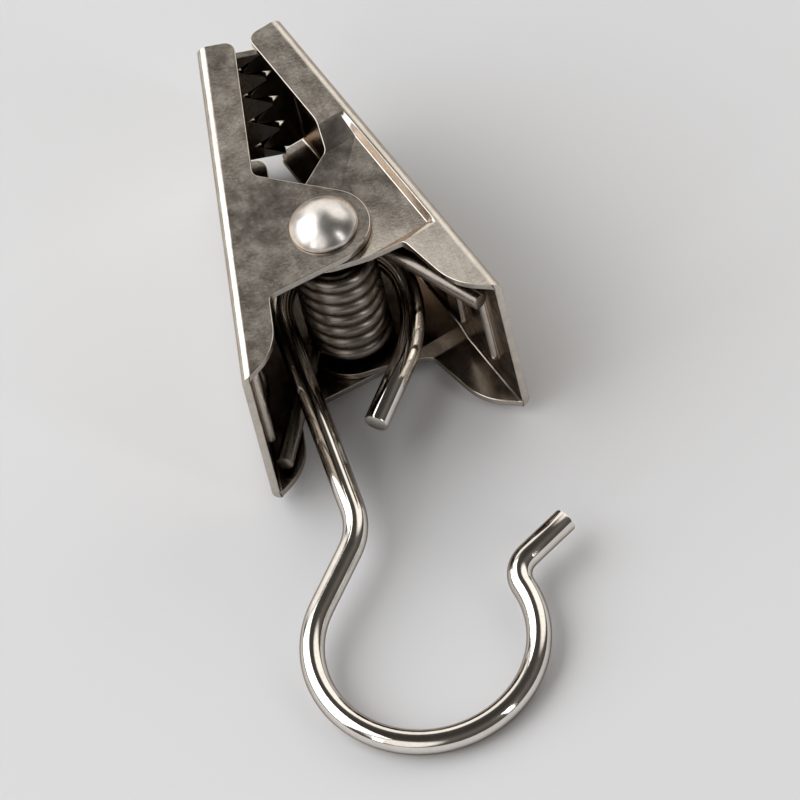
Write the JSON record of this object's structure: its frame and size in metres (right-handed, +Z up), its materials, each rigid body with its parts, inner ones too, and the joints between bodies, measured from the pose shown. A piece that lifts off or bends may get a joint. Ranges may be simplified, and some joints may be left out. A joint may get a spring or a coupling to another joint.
{
  "type": "curtain hook clip",
  "caption": "Sprung metal curtain clip: two toothed jaws on a rivet with a torsion spring, and a bent wire hook whose open loop hangs on a rail or ring.",
  "frame": {"origin": "on the rivet's axis at the plane the part lies on: the underside of the rivet's rolled end and of the hook's loop", "axes": "+X from the rivet to the mouth of the jaws, midway between them; +Z up along the rivet's axis; +Y towards the outer jaw"},
  "size_m": [0.0589, 0.0242, 0.0179],
  "materials": {
    "plated_sheet": "bright nickel-plated pressed sheet, finely grained",
    "rivet_metal": "bright nickel-plated, smooth dome",
    "spring_wire": "drawn spring wire, plated",
    "hook_wire": "mirror-bright plated wire"
  },
  "bodies": {
    "outer_jaw": {"outer_jaw": "plated_sheet", "pivot_rivet": "rivet_metal", "torsion_spring": "spring_wire"},
    "inner_jaw": {"inner_jaw": "plated_sheet"},
    "hook": {"hanging_hook": "hook_wire"}
  },
  "joints": [
    {"name": "jaw_open", "type": "hinge", "parent": "outer_jaw", "child": "inner_jaw", "pos_m": [0, 0, 0.0085], "axis": [0, 0, -1], "range_deg": [0, 28], "stiffness_Nm_per_rad": 0.01, "springref_deg": -20.05, "deforming": ["torsion_spring"]},
    {"name": "hook_swing", "type": "hinge", "parent": "outer_jaw", "child": "hook", "pos_m": [0, 0, 0.006], "axis": [0, 0, 1], "range_deg": [-12, 16]}
  ]
}
